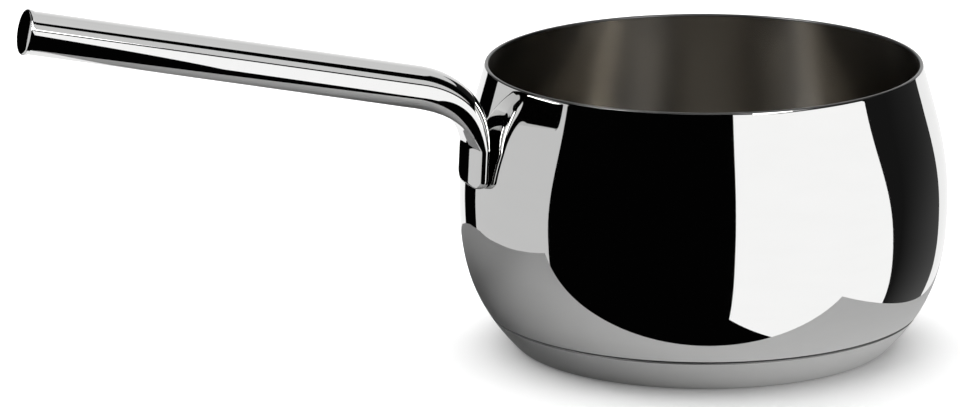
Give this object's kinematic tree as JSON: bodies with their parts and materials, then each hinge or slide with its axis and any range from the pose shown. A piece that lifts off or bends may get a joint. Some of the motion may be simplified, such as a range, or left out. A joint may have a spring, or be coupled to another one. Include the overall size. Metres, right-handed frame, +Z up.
{
  "type": "saucepan",
  "caption": "Deep bellied saucepan of polished steel with an encapsulated base and a bent tube handle pressed flat where it is welded to the wall.",
  "frame": {"origin": "on the pan's axis, in the plane that the base rests on", "axes": "+Z up out of the mouth, -X towards the handle, the XZ plane is the plane of symmetry"},
  "size_m": [0.3043, 0.1566, 0.1268],
  "materials": {
    "polished_steel": "mirror polished outside, satin inside",
    "core_aluminium": "bare",
    "satin_steel": "satin",
    "handle_steel": "mirror polished",
    "plug_steel": "mirror polished"
  },
  "bodies": {
    "root": {"pan_body": "polished_steel", "base_core": "core_aluminium", "base_cap": "satin_steel", "handle_tube": "handle_steel", "handle_end_plug": "plug_steel"}
  },
  "joints": []
}
